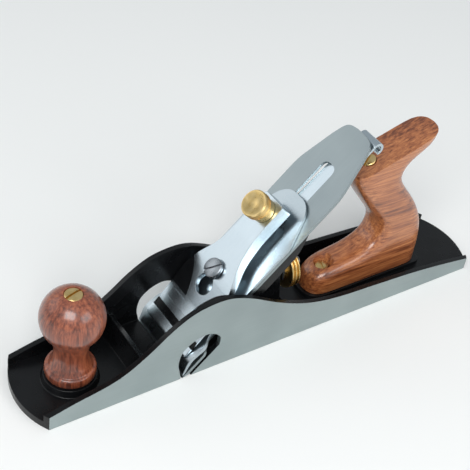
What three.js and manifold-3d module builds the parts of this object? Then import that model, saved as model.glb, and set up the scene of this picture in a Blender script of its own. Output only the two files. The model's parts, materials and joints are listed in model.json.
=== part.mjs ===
// Bench rebate plane: an iron casting with open-sided cheeks, a frog bedded at 45 degrees,
// a full-width cutting iron, a screw-down lever cap, and a turned knob and a shaped tote.
// Millimetres. Origin under the middle of the sole, +X to the heel, -Y to the user's left, +Z up.
import * as THREE from 'three';
import { mergeVertices } from 'three/addons/utils/BufferGeometryUtils.js';
import Module from 'manifold-3d';

const wasm = await Module();
wasm.setup();

// ---- driving dimensions ----
const GAP = 0.3;                 // between pieces that touch
const THREAD_GAP = 0.3;          // round a screw or pin in its hole

const SOLE_LENGTH = 330;
const SOLE_WIDTH = 54;
const END_BOW = 8;               // how far the rounded ends stand past the corners
const FLOOR = 5.2;
const CHEEK = 3.5;
const HALF = SOLE_WIDTH / 2;
const INNER = HALF - CHEEK;      // half the width between the cheeks
const CHEEK_PEAK = 54.9;
const TOE_CORNER = 10.3;         // cheek height at the toe corner
const HEEL_CORNER = 9.2;
const MOUTH_X = -64.1;           // where the 45 degree bed line meets the sole
const MOUTH = 7.1;               // mouth length along the sole
const PEAK_BEHIND_MOUTH = 12;

const BED_ANGLE = Math.PI / 4;
const SEAT = 13.5;               // top of the frog seat
const SEAT_HALF = INNER - 5.5;
const SEAT_END = 6;

const FROG_FACE = 1.7;           // frog face above the bed line
const FROG_THICK = 7.7;
const FROG_HALF = INNER - 2.5;
const FROG_TOP = 121;
const FROG_BASE = 5;
const FROG_REAR = 10;
const FROG_SCREW_X = -16;
const FROG_SCREW_Y = FROG_HALF - 6.8;
const RIB_IN = 8;                // the two frog ribs, measured from the centre line
const RIB_OUT = 13;

const IRON_THICK = 2.2;
const IRON_HALF = INNER - 2;
const IRON_WIDE_HALF = HALF - 0.2;   // the wide lower part reaches through the cheek openings
const IRON_SHOULDER = 21;
const IRON_TAPER = 138;
const IRON_TOP = 175;
const SLOT_HALF = 5.5;
const SLOT_TOP = 149;
const CAP_THICK = 2;
const CAP_TOP = 122.5;
const CAP_HUMP = 3.3;            // rise of the curved lower end
const CAP_SET_BACK = 1.4;        // from the cutting edge

const SCREW_S = 57;              // lever cap screw, along the bed
const CAP_SCREW_S = 88;
const DISC_S = 104;
const LATERAL_S = 114.5;
const TONGUE_S = 72;

const LEVER_LIP = 5.5;
const LEVER_TOP = 112;
const LEVER_WIDE_HALF = INNER - 0.9;
const LEVER_NARROW_HALF = 9;
const RELEASE = 11.4;            // lever cap travel from gripped to free of its screw
const LEVER_WALL = 3;
const RECESS = 0.8;
const THUMB_S = 102.5;
const THUMB_R = 8.6;
const THUMB_HEAD = 5.6;
const THUMB_NECK = 6.4;

const KNOB_X = 34.3 - SOLE_LENGTH / 2;
const KNOB_R = 19.1;
const KNOB_BALL_Z = 53.6;
const KNOB_NECK_R = 10.2;
const KNOB_FOOT_R = 15.2;
const KNOB_BOSS_R = 16.8;
const BOSS = 4.5;                // height of the knob boss over the floor

const TOTE_X = 36.5;             // tip of the toe
const TOTE_LENGTH = 88;
const TOTE_HEIGHT = 108;
const TOTE_HALF = 11.5;
const TOTE_PAD = 3.3;
const HORN_TIP = 80;             // from the tip of the toe
const TOE_SCREW_X = 12.5;        // from the tip of the toe

const WHEEL_X = 13.6;
const WHEEL_Z = 35.4;
const WHEEL_R = 14.1;
const WHEEL_WIDE = 6.2;
const STUD_R = 3;
const STUD_END = 28;

const BOLT_R = 2.75;
const SMALL_SCREW_R = 2.2;
const LEVER_SCREW_R = 3.2;
const CAP_SCREW_R = 3.2;
const STEM_R = 2.6;
const RIVET_R = 1.8;
const KNOB_NUT_R = 5.5;
const KNOB_NUT_DEEP = 3;
const TOTE_NUT_R = 4.8;
const TOTE_NUT_DEEP = 4;
const TOE_HEAD_R = 4.4;
const TOE_HEAD = 3;
const LEVER_HEAD_R = 6.2;
const LEVER_HEAD = 2.4;

// ---- materials ----
const material = (color, roughness, metalness) =>
  new THREE.MeshStandardMaterial({ color, roughness, metalness });
const enamel = material(0x16181b, 0.3, 0.1);
const wood = material(0x8f4a2f, 0.35, 0);
const brass = material(0xd0a850, 0.3, 1);
const groundSteel = material(0x9aa4a6, 0.4, 1);
const nickel = material(0xb4c3cc, 0.3, 1);
const darkSteel = material(0x6b7175, 0.45, 1);

// ---- solids ----
function solid(geometry) {
  geometry.deleteAttribute('normal');
  geometry.deleteAttribute('uv');
  const merged = mergeVertices(geometry, 1e-4);
  return new wasm.Manifold(new wasm.Mesh({
    numProp: 3,
    vertProperties: new Float32Array(merged.attributes.position.array),
    triVerts: new Uint32Array(merged.index.array),
  }));
}
const join = (first, ...rest) => rest.reduce((sum, next) => sum.add(next), first);
const cut = (first, ...rest) => rest.reduce((left, next) => left.subtract(next), first);
const keep = (first, ...rest) => rest.reduce((common, next) => common.intersect(next), first);

function shapeOf(points) {
  return new THREE.Shape(points.map(([x, y]) => new THREE.Vector2(x, y)));
}
// A closed outline of [x, y, corner radius]; each corner is an arc-like curve of that radius.
function filleted(corners) {
  const shape = new THREE.Shape();
  corners.forEach(([x, y, radius = 0], i) => {
    const corner = new THREE.Vector2(x, y);
    const before = new THREE.Vector2(...corners[(i + corners.length - 1) % corners.length]);
    const after = new THREE.Vector2(...corners[(i + 1) % corners.length]);
    const reach = Math.min(radius, corner.distanceTo(before) / 2, corner.distanceTo(after) / 2);
    const start = corner.clone().lerp(before, reach / corner.distanceTo(before));
    const end = corner.clone().lerp(after, reach / corner.distanceTo(after));
    if (i === 0) shape.moveTo(start.x, start.y);
    else if (start.distanceTo(shape.currentPoint) > 1e-6) shape.lineTo(start.x, start.y);
    if (reach > 0) shape.quadraticCurveTo(x, y, end.x, end.y);
  });
  return shape;
}
// An outline drawn on one side of the X axis, with its mirror image as the other side.
function mirrored(corners) {
  const other = corners.map(([x, y, radius]) => [x, -y, radius]).reverse();
  return filleted([...corners, ...other]);
}
// Plan outline in X and Y, from z0 to z1.
function plate(shape, z0, z1, curveSegments = 6) {
  const flat = { depth: z1 - z0, bevelEnabled: false, curveSegments };
  return solid(new THREE.ExtrudeGeometry(shape, flat).translate(0, 0, z0));
}
// Side outline in X and Z, from y0 to y1.
function side(shape, y0, y1, curveSegments = 6) {
  const flat = { depth: y1 - y0, bevelEnabled: false, curveSegments };
  return solid(new THREE.ExtrudeGeometry(shape, flat).rotateX(Math.PI / 2).translate(0, y1, 0));
}
function block(x0, x1, y0, y1, z0, z1) {
  const box = new THREE.BoxGeometry(x1 - x0, y1 - y0, z1 - z0);
  return solid(box.translate((x0 + x1) / 2, (y0 + y1) / 2, (z0 + z1) / 2));
}
// Turned about Z through (x, y): a list of [radius, z] from the axis to the axis.
function turned(profile, x = 0, y = 0, segments = 28) {
  const points = profile.map(([radius, z]) => new THREE.Vector2(radius, z));
  const lathe = new THREE.LatheGeometry(points, segments);
  return solid(lathe.rotateX(Math.PI / 2).translate(x, y, 0));
}
function rod(radius, z0, z1, x = 0, y = 0, segments = 20) {
  return turned([[0, z0], [radius, z0], [radius, z1], [0, z1]], x, y, segments);
}
// A rod or turned piece made upright, then laid along X at height z.
function alongX(upright, z, y = 0) {
  return upright.rotate([0, 90, 0]).translate([0, y, z]);
}
function slotCut(x, y, z, halfLength, width, depth, turn) {
  const saw = block(-halfLength, halfLength, -width / 2, width / 2, -depth, 1);
  return saw.rotate([0, 0, turn]).translate([x, y, z]);
}

const plane = new THREE.Group();
// The bed group: X runs up the bed, Y across it, Z square off it.
const bed = new THREE.Group();
bed.position.set(MOUTH_X, 0, 0);
bed.rotation.y = -BED_ANGLE;
plane.add(bed);

function piece(name, shape, look, parent = plane) {
  const { numProp, vertProperties, triVerts } = shape.getMesh();
  const geometry = new THREE.BufferGeometry();
  const positions = new Float32Array(vertProperties.length / numProp * 3);
  for (let i = 0; i < positions.length / 3; i++) {
    positions.set(vertProperties.subarray(i * numProp, i * numProp + 3), i * 3);
  }
  geometry.setAttribute('position', new THREE.BufferAttribute(positions, 3));
  geometry.setIndex(new THREE.BufferAttribute(triVerts, 1));
  geometry.computeVertexNormals();
  const mesh = new THREE.Mesh(geometry, look);
  mesh.name = name;
  parent.add(mesh);
}
// From bed coordinates to [x, z] in the plane's own frame, and back.
const BED_COS = Math.cos(BED_ANGLE);
const BED_SIN = Math.sin(BED_ANGLE);
const fromBed = (s, n) => [MOUTH_X + s * BED_COS - n * BED_SIN, s * BED_SIN + n * BED_COS];

const CORNER_X = SOLE_LENGTH / 2 - END_BOW;

// ---- levels above the bed line ----
const IRON_UNDER = FROG_FACE + GAP;
const IRON_FACE = IRON_UNDER + IRON_THICK;
const CAP_UNDER = IRON_FACE + GAP;
const CAP_FACE = CAP_UNDER + CAP_THICK;
const CUTTING_EDGE = -IRON_FACE / Math.tan(BED_ANGLE);   // where the iron's face meets the sole

// ---- body casting ----
function soleOutline() {
  const bowRadius = (HALF ** 2 + END_BOW ** 2) / (2 * END_BOW);
  const half = Math.asin(HALF / bowRadius);
  const centre = SOLE_LENGTH / 2 - bowRadius;
  const shape = new THREE.Shape();
  shape.moveTo(-CORNER_X, -HALF);
  shape.lineTo(CORNER_X, -HALF);
  shape.absarc(centre, 0, bowRadius, -half, half, false);
  shape.lineTo(-CORNER_X, HALF);
  shape.absarc(-centre, 0, bowRadius, Math.PI - half, Math.PI + half, false);
  return shape;
}
// The cheek line as [share of the way from peak to corner, share of the rise over the corner].
const TOE_LINE = [[0.84, 0.095], [0.66, 0.18], [0.53, 0.3], [0.39, 0.53], [0.27, 0.765], [0.14, 0.94]];
const HEEL_LINE = [[0.06, 0.97], [0.13, 0.83], [0.21, 0.615], [0.29, 0.435], [0.37, 0.31],
  [0.47, 0.232], [0.61, 0.192], [0.75, 0.15], [0.87, 0.09]];
function cheekLine() {
  const peakX = MOUTH_X + PEAK_BEHIND_MOUTH;
  const toe = TOE_LINE.map(([u, v]) =>
    [peakX - u * (peakX + CORNER_X), TOE_CORNER + v * (CHEEK_PEAK - TOE_CORNER)]);
  const heel = HEEL_LINE.map(([u, v]) =>
    [peakX + u * (CORNER_X - peakX), HEEL_CORNER + v * (CHEEK_PEAK - HEEL_CORNER)]);
  const stations = [[-CORNER_X, TOE_CORNER], ...toe, [peakX, CHEEK_PEAK], ...heel, [CORNER_X, HEEL_CORNER]];
  const line = new THREE.SplineCurve(stations.map(([x, z]) => new THREE.Vector2(x, z))).getPoints(54);
  const past = SOLE_LENGTH;
  return shapeOf([[-past, -1], [past, -1], [past, HEEL_CORNER],
    ...line.reverse().map((point) => [point.x, point.y]), [-past, TOE_CORNER]]);
}
// Mouth and cheek openings in one side outline: a leaning loop that runs down into the mouth.
const OPENING = [[-8.4, 7.5], [-9.6, 14], [-7.8, 22.5], [-2.2, 27.9], [3.6, 30.3], [8.8, 30.7],
  [14.2, 28.6], [17.9, 24.8], [18.6, 21.4]];
function openingOutline() {
  const loop = OPENING.map(([dx, z]) => new THREE.Vector2(MOUTH_X + dx, z));
  const curve = new THREE.SplineCurve([new THREE.Vector2(MOUTH_X - MOUTH, 2), ...loop]).getPoints(26);
  const run = OPENING.at(-1)[1] - 3;
  return shapeOf([[MOUTH_X - MOUTH, -1], ...curve.map((point) => [point.x, point.y]),
    [MOUTH_X + run, run], [MOUTH_X - 1, -1]]);
}
const RIB_SECTION = [[-34.2, 4], [-30.9, 21], [-26.7, 18.3], [-19.9, 4]];   // from the mouth
const KNOB_BASE = FLOOR + BOSS;
const TOTE_BASE = FLOOR + TOTE_PAD + GAP;
const TOTE_BOLT_TILT = THREE.MathUtils.degToRad(25);
const TOTE_NUT = [TOTE_X + 31.2, TOTE_BASE + 94.5];        // x and z of the tote nut's face
const TOE_SCREW = TOTE_X + TOE_SCREW_X;
const TOE_HEAD_TOP = TOTE_BASE + 14.6;
const HOLE_FLOOR = 1.5;                                    // metal left under a blind hole
const FROG_SCREWS = [[FROG_SCREW_X, -FROG_SCREW_Y], [FROG_SCREW_X, FROG_SCREW_Y]];
const ADJUSTER_Z = 9.6;

function toteBoltRod(radius, from, to) {
  return rod(radius, from, to).rotate([0, THREE.MathUtils.radToDeg(-TOTE_BOLT_TILT), 0])
    .translate([TOTE_NUT[0], 0, TOTE_NUT[1]]);
}
const TOTE_BOLT_LENGTH = (TOTE_NUT[1] - HOLE_FLOOR) / Math.cos(TOTE_BOLT_TILT) - 2;

function totePadOutline(half) {
  return mirrored([[TOTE_X - 3, half, half], [TOTE_X + TOTE_LENGTH + 3, half, 6]]);
}
function bodyCasting() {
  const tall = CHEEK_PEAK + 20;
  const shell = keep(plate(soleOutline(), 0, tall, 8), side(cheekLine(), -HALF - 1, HALF + 1));
  const hollow = block(-SOLE_LENGTH, SOLE_LENGTH, -INNER, INNER, FLOOR, tall);
  const opening = side(openingOutline(), -HALF - 1, HALF + 1);
  const tray = cut(shell, hollow, opening);

  const inFloor = FLOOR - 1;
  const wall = INNER + CHEEK / 2;
  const rib = side(shapeOf(RIB_SECTION.map(([dx, z]) => [MOUTH_X + dx, z])), -wall, wall);
  const rampEnd = MOUTH_X + SEAT + 5;
  const ramp = side(shapeOf([[MOUTH_X + inFloor, inFloor], [rampEnd, inFloor],
    [rampEnd, SEAT], [MOUTH_X + SEAT, SEAT]]), -wall, wall);
  const seat = block(rampEnd - 1, SEAT_END, -SEAT_HALF, SEAT_HALF, inFloor, SEAT);
  const boss = turned([[0, inFloor], [KNOB_BOSS_R + 1, inFloor], [KNOB_BOSS_R, FLOOR + 1],
    [KNOB_BOSS_R - 0.8, KNOB_BASE], [0, KNOB_BASE]], KNOB_X);
  const totePad = plate(totePadOutline(TOTE_HALF + 1.5), inFloor, FLOOR + TOTE_PAD);

  const knobHole = rod(BOLT_R + THREAD_GAP, HOLE_FLOOR, KNOB_BASE + 1, KNOB_X);
  const toeHole = rod(SMALL_SCREW_R + THREAD_GAP, HOLE_FLOOR, TOTE_BASE, TOE_SCREW);
  const toteHole = keep(toteBoltRod(BOLT_R + THREAD_GAP, -TOTE_BOLT_LENGTH - 20, -40),
    block(-SOLE_LENGTH, SOLE_LENGTH, -HALF, HALF, HOLE_FLOOR, TOTE_BASE));
  const frogHoles = FROG_SCREWS.map(([x, y]) =>
    rod(BOLT_R + THREAD_GAP, HOLE_FLOOR, SEAT + 1, x, y));
  const adjusterHole = alongX(rod(SMALL_SCREW_R + THREAD_GAP, -12, SEAT_END + 1), ADJUSTER_Z);
  return cut(join(tray, rib, ramp, seat, boss, totePad),
    knobHole, toeHole, toteHole, adjusterHole, ...frogHoles);
}
piece('body_casting', bodyCasting(), enamel);

// ---- front knob ----
const KNOB_FOOT = KNOB_BASE + GAP;
const KNOB_FLAT_R = 6.5;                                   // the flat on top of the ball
const KNOB_TOP = KNOB_BALL_Z + Math.sqrt(KNOB_R ** 2 - KNOB_FLAT_R ** 2);
function knobProfile() {
  const bead = new THREE.SplineCurve([[KNOB_FOOT_R - 1.4, KNOB_FOOT], [KNOB_FOOT_R - 0.2, KNOB_FOOT + 2],
    [KNOB_FOOT_R, KNOB_FOOT + 5], [KNOB_FOOT_R - 1.2, KNOB_FOOT + 7.6], [KNOB_NECK_R + 1.2, KNOB_FOOT + 12],
    [KNOB_NECK_R, KNOB_FOOT + 18.5], [KNOB_NECK_R + 0.6, KNOB_FOOT + 24],
    [KNOB_NECK_R + 3.4, KNOB_BALL_Z - 12.6]].map(([r, z]) => new THREE.Vector2(r, z))).getPoints(12);
  const ball = [];
  const from = Math.asin(-11.2 / KNOB_R);
  const to = Math.acos(KNOB_FLAT_R / KNOB_R);
  for (let i = 0; i <= 9; i++) {
    const angle = from + (to - from) * i / 9;
    ball.push([KNOB_R * Math.cos(angle), KNOB_BALL_Z + KNOB_R * Math.sin(angle)]);
  }
  return [[0, KNOB_FOOT], ...bead.map((point) => [point.x, point.y]), ...ball, [0, KNOB_TOP]];
}
const KNOB_BOLT_TOP = KNOB_TOP - KNOB_NUT_DEEP - 2 - GAP;
piece('front_knob', cut(turned(knobProfile(), KNOB_X, 0, 26),
  rod(BOLT_R + THREAD_GAP, 0, KNOB_TOP + 1, KNOB_X),
  rod(KNOB_NUT_R + GAP, KNOB_TOP - KNOB_NUT_DEEP - GAP, KNOB_TOP + 1, KNOB_X)), wood);
piece('knob_bolt', rod(BOLT_R, HOLE_FLOOR + 1, KNOB_BOLT_TOP, KNOB_X), darkSteel);
piece('knob_nut', cut(turned([[0, KNOB_TOP - KNOB_NUT_DEEP], [KNOB_NUT_R, KNOB_TOP - KNOB_NUT_DEEP],
  [KNOB_NUT_R, KNOB_TOP - 0.6], [KNOB_NUT_R * 0.7, KNOB_TOP + 0.3], [0, KNOB_TOP + 0.6]], KNOB_X),
  slotCut(KNOB_X, 0, KNOB_TOP, KNOB_NUT_R + 1, 1.3, 1.4, 15)), brass);

// ---- tote ----
// Side outline from the tip of the toe at the base, as [x, z, corner radius], drawn at this height.
const TOTE_DRAWN = 108;
const TOTE_SIDE = [[0, 0, 4], [-0.5, 12, 8], [14, 18.6, 14], [33, 20, 12], [48, 27, 12], [51, 40, 18],
  [30, 68, 14], [19, 85.5, 5], [31.2, 94.5, 4], [50, 104, 14], [66, 108, 16], [79, 105, 5], [76, 100, 7],
  [62, 92, 14], [53, 82, 12], [59, 72, 16], [76, 51, 22], [86, 30, 16], [TOTE_LENGTH, 0, 4]];
// An outline's points moved inwards, square to the outline.
function insetPoints(points, inset) {
  return points.map((point, i) => {
    const before = points[(i + points.length - 1) % points.length];
    const after = points[(i + 1) % points.length];
    const along = after.clone().sub(before).normalize();
    return new THREE.Vector2(point.x - along.y * inset, point.y + along.x * inset);
  });
}
const TOTE_EASE = [[0, 0.7], [0.5, 0.88], [1.2, 1]];   // [inset, share of the half thickness]
function tote() {
  const rise = TOTE_HEIGHT / TOTE_DRAWN;
  const outline = filleted(TOTE_SIDE.map(([x, z, radius]) => [TOTE_X + x, TOTE_BASE + z * rise, radius]));
  const points = outline.getPoints(3);
  const turn = THREE.ShapeUtils.area(points) > 0 ? 1 : -1;
  const layers = TOTE_EASE.map(([inset, share]) =>
    side(new THREE.Shape(insetPoints(points, inset * turn)), -TOTE_HALF * share, TOTE_HALF * share));
  const rough = join(...layers);
  // Seen from above, the toe, the heel and the horn each have a round end.
  const top = TOTE_BASE + TOTE_HEIGHT + 5;
  const neck = TOTE_BASE + TOTE_HEIGHT * 0.79;
  const toHeel = mirrored([[TOTE_X - 0.5, TOTE_HALF, 11], [TOTE_X + TOTE_LENGTH, TOTE_HALF, 9]]);
  const toHorn = mirrored([[TOTE_X - 0.5, TOTE_HALF, 11], [TOTE_X + HORN_TIP, TOTE_HALF, 17]]);
  const shaped = keep(rough, join(plate(toHeel, 0, neck), plate(toHorn, neck - 1, top)));
  return cut(shaped,
    toteBoltRod(BOLT_R + THREAD_GAP, -TOTE_BOLT_LENGTH - 10, 10),
    toteBoltRod(TOTE_NUT_R + GAP, -TOTE_NUT_DEEP - GAP, 14),
    rod(SMALL_SCREW_R + THREAD_GAP, 0, TOTE_BASE + 30, TOE_SCREW),
    rod(TOE_HEAD_R + GAP, TOE_HEAD_TOP - TOE_HEAD - GAP, TOTE_BASE + 30, TOE_SCREW));
}
piece('tote', tote(), wood);
piece('tote_bolt', toteBoltRod(BOLT_R, -TOTE_BOLT_LENGTH, -TOTE_NUT_DEEP - 2 * GAP), darkSteel);
const toteNut = cut(turned([[0, -TOTE_NUT_DEEP], [TOTE_NUT_R, -TOTE_NUT_DEEP], [TOTE_NUT_R, -0.5],
  [TOTE_NUT_R * 0.7, 0.2], [0, 0.4]]), slotCut(0, 0, 0, TOTE_NUT_R + 1, 1.3, 1.2, 25));
piece('tote_nut', toteNut.rotate([0, THREE.MathUtils.radToDeg(-TOTE_BOLT_TILT), 0])
  .translate([TOTE_NUT[0], 0, TOTE_NUT[1]]), brass);
piece('tote_toe_screw', cut(turned([[0, HOLE_FLOOR + 1], [SMALL_SCREW_R, HOLE_FLOOR + 1],
  [SMALL_SCREW_R, TOE_HEAD_TOP - TOE_HEAD], [TOE_HEAD_R, TOE_HEAD_TOP - TOE_HEAD],
  [TOE_HEAD_R, TOE_HEAD_TOP - 0.5], [TOE_HEAD_R * 0.7, TOE_HEAD_TOP], [0, TOE_HEAD_TOP]], TOE_SCREW),
  slotCut(TOE_SCREW, 0, TOE_HEAD_TOP, TOE_HEAD_R + 1, 1.2, 1.1, 70)), brass);

// ---- frog ----
const FROG_FOOT = SEAT + GAP;
const FROG_FLANGE = FROG_FOOT + FROG_BASE;
const FROG_NOSE = 1.5;           // how far the bed plate's end lies below where the foot meets the bed
const FROG_FRONT_S = FROG_FOOT / BED_SIN - FROG_NOSE;
const WEB_TOP_S = 91;                                    // where the ribs meet the bed plate's back
const PIVOT = [-4, 47];                                  // y lever pin, x and z
const PIN_R = 1.5;
const BOSS_WALL = [-5, 3];                               // wall that holds the depth stud
const WASHER_R = 5.4;
const WASHER = 1.2;
const SCREW_HEAD_R = 4.6;
const SCREW_HEAD = 3.2;
const CLIP_SCREW_R = 1.4;
const CLIP_SCREW_Z = FROG_FOOT + FROG_BASE / 2;

function bedSolid(upright) {
  return upright.rotate([0, -THREE.MathUtils.radToDeg(BED_ANGLE), 0]).translate([MOUTH_X, 0, 0]);
}
function frog() {
  const plateUnder = FROG_FACE - FROG_THICK;
  const face = plate(mirrored([[FROG_FRONT_S, FROG_HALF], [96, FROG_HALF, 8], [FROG_TOP, 12, 8]]),
    plateUnder, FROG_FACE);
  const tongueSlot = block(TONGUE_S - 8, TONGUE_S + 8, -3.4, 3.4, plateUnder - 1, FROG_FACE + 1);
  const screwGroove = block(CAP_SCREW_S - 10, CAP_SCREW_S + 11, -9, 9, FROG_FACE - 3.4, FROG_FACE + 1);
  const leverGroove = block(CAP_SCREW_S + 9, FROG_TOP + 1, -8.5, 8.5, FROG_FACE - 2.6, FROG_FACE + 1);
  const screwHole = rod(LEVER_SCREW_R + THREAD_GAP, plateUnder - 1, FROG_FACE + 1, SCREW_S);
  const rivetHole = rod(RIVET_R + THREAD_GAP, plateUnder - 1, FROG_FACE + 1, LATERAL_S);
  const bedPlate = bedSolid(cut(face, tongueSlot, screwGroove, leverGroove, screwHole, rivetHole));

  const front = fromBed(FROG_FRONT_S + 6, FROG_FACE - 4);
  const web = shapeOf([[front[0], FROG_FOOT], [FROG_REAR - 2, FROG_FOOT], [FROG_REAR - 6, WHEEL_Z + 8],
    fromBed(WEB_TOP_S, plateUnder + 1), [front[0], front[1] + 0.5]]);
  const ribs = [[-RIB_OUT, -RIB_IN], [RIB_IN, RIB_OUT]].map(([y0, y1]) => side(web, y0, y1));
  const foot = block(front[0], FROG_REAR, -FROG_HALF + 1, FROG_HALF - 1, FROG_FOOT, FROG_FLANGE);
  const boss = block(BOSS_WALL[0], BOSS_WALL[1], -RIB_IN - 1, RIB_IN + 1, FROG_FOOT, WHEEL_Z + 5);

  const slots = FROG_SCREWS.map(([x, y]) => block(x - BOLT_R - 2.2, x + BOLT_R + 2.2,
    y - BOLT_R - 0.5, y + BOLT_R + 0.5, FROG_FOOT - 1, FROG_FLANGE + 1));
  const wells = FROG_SCREWS.map(([x, y]) => rod(WASHER_R + 2.5, FROG_FLANGE, FROG_FLANGE + 22, x, y));
  const studHole = alongX(rod(STUD_R + THREAD_GAP, BOSS_WALL[0] - 1, BOSS_WALL[1] + 1), WHEEL_Z);
  const pinHole = rod(PIN_R + THREAD_GAP, -RIB_OUT - 1, RIB_OUT + 1).rotate([90, 0, 0])
    .translate([PIVOT[0], 0, PIVOT[1]]);
  const clipHole = alongX(rod(CLIP_SCREW_R + THREAD_GAP, FROG_REAR - 8, FROG_REAR + 1), CLIP_SCREW_Z);
  const above = block(-SOLE_LENGTH, SOLE_LENGTH, -HALF, HALF, FROG_FOOT, SOLE_LENGTH);
  return cut(keep(join(bedPlate, ...ribs, foot, boss), above),
    ...slots, ...wells, studHole, pinHole, clipHole);
}
piece('frog', frog(), enamel);

FROG_SCREWS.forEach(([x, y], i) => {
  const hand = i === 0 ? 'left' : 'right';
  const washerZ = FROG_FLANGE + GAP;
  const headZ = washerZ + WASHER + GAP;
  piece(`frog_washer_${hand}`, cut(rod(WASHER_R, washerZ, washerZ + WASHER, x, y),
    rod(BOLT_R + THREAD_GAP, washerZ - 1, headZ, x, y)), darkSteel);
  piece(`frog_screw_${hand}`, cut(turned([[0, HOLE_FLOOR + 1], [BOLT_R, HOLE_FLOOR + 1], [BOLT_R, headZ],
    [SCREW_HEAD_R, headZ], [SCREW_HEAD_R, headZ + SCREW_HEAD - 0.6],
    [SCREW_HEAD_R - 0.8, headZ + SCREW_HEAD], [0, headZ + SCREW_HEAD]], x, y),
    slotCut(x, y, headZ + SCREW_HEAD, SCREW_HEAD_R + 1, 1.3, 1.2, 30)), darkSteel);
});

// ---- frog adjusting screw and its clip ----
const CLIP_X = FROG_REAR + GAP;
const CLIP = 1.5;
const CLIP_HALF = 5;
const NECK_R = 1.7;
const COLLAR_R = 3.2;
const clipPlate = cut(
  plate(mirrored([[-CLIP_SCREW_Z - 3.2, CLIP_HALF, 2], [-ADJUSTER_Z + 2.6, CLIP_HALF, 1]]), 0, CLIP),
  block(-ADJUSTER_Z, -ADJUSTER_Z + 5, -NECK_R - GAP, NECK_R + GAP, -1, CLIP + 1),
  rod(NECK_R + GAP, -1, CLIP + 1, -ADJUSTER_Z),
  rod(CLIP_SCREW_R + THREAD_GAP, -1, CLIP + 1, -CLIP_SCREW_Z));
piece('frog_clip', clipPlate.rotate([0, 90, 0]).translate([CLIP_X, 0, 0]), darkSteel);
const clipHeadX = CLIP_X + CLIP + GAP;
piece('frog_clip_screw', alongX(cut(turned([[0, FROG_REAR - 7], [CLIP_SCREW_R, FROG_REAR - 7],
  [CLIP_SCREW_R, clipHeadX], [2.6, clipHeadX], [2.6, clipHeadX + 1.3], [1.8, clipHeadX + 1.8],
  [0, clipHeadX + 1.8]]), slotCut(0, 0, clipHeadX + 1.8, 4, 0.8, 0.8, 40)), CLIP_SCREW_Z), darkSteel);
const collarEnd = CLIP_X - GAP;
piece('frog_adjusting_screw', alongX(cut(turned([[0, -10], [SMALL_SCREW_R, -10],
  [SMALL_SCREW_R, collarEnd - 2.2], [COLLAR_R, collarEnd - 2.2], [COLLAR_R, collarEnd], [NECK_R, collarEnd],
  [NECK_R, clipHeadX], [COLLAR_R + 0.4, clipHeadX], [COLLAR_R + 0.4, clipHeadX + 3],
  [COLLAR_R - 0.4, clipHeadX + 3.6], [0, clipHeadX + 3.6]]),
  slotCut(0, 0, clipHeadX + 3.6, 5, 1.1, 1.2, 20)), ADJUSTER_Z), darkSteel);

// ---- depth adjuster ----
piece('depth_stud', alongX(rod(STUD_R, BOSS_WALL[0] - 3, STUD_END), WHEEL_Z), darkSteel);
const BUSH_R = 5;
const HUB_FRONT = WHEEL_X - 6.4;
const FORK_X = WHEEL_X - 3.85;
const FORK_HALF = 0.7;
const FORK_FRONT_GAP = 0.55;     // either side of the fork, for its tilt as the lever swings
const FORK_BACK_GAP = 1.1;
const FORK_DROP = 1.5;           // over the hub, for the fork's fall as the iron feeds
const HUB_GROOVE_R = 6;
const HUB_FLANGE_R = HUB_GROOVE_R + 1.6;
const bush = cut(turned([[0, HUB_FRONT], [BUSH_R, HUB_FRONT], [BUSH_R, WHEEL_X + WHEEL_WIDE + GAP],
  [BUSH_R + 1.6, WHEEL_X + WHEEL_WIDE + GAP], [BUSH_R + 1.6, WHEEL_X + WHEEL_WIDE + 2.2],
  [BUSH_R + 0.4, WHEEL_X + WHEEL_WIDE + 4.4], [0, WHEEL_X + WHEEL_WIDE + 4.4]]),
  rod(STUD_R + THREAD_GAP, HUB_FRONT - 1, STUD_END));
piece('depth_bush', alongX(bush, WHEEL_Z), nickel);
function depthWheel() {
  const ring = WHEEL_WIDE / 5;
  const rim = [];
  [0, 2, 4].forEach((step) => {
    const x = WHEEL_X + step * ring;
    rim.push([WHEEL_R - 0.3, x], [WHEEL_R, x + 0.3], [WHEEL_R, x + ring - 0.3], [WHEEL_R - 0.3, x + ring]);
    if (step < 4) rim.push([WHEEL_R - 1.6, x + ring], [WHEEL_R - 1.6, x + 2 * ring]);
  });
  const grooveFront = FORK_X - FORK_HALF - FORK_FRONT_GAP;
  const grooveBack = FORK_X + FORK_HALF + FORK_BACK_GAP;
  const hub = [[0, HUB_FRONT], [HUB_FLANGE_R, HUB_FRONT], [HUB_FLANGE_R, grooveFront],
    [HUB_GROOVE_R, grooveFront], [HUB_GROOVE_R, grooveBack],
    [HUB_FLANGE_R, grooveBack], [HUB_FLANGE_R, WHEEL_X]];
  return cut(turned([...hub, ...rim, [0, WHEEL_X + WHEEL_WIDE]], 0, 0, 30),
    rod(BUSH_R + GAP, HUB_FRONT - 1, WHEEL_X + WHEEL_WIDE + 1, 0, 0, 24));
}
piece('depth_wheel', alongX(depthWheel(), WHEEL_Z), brass);

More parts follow.
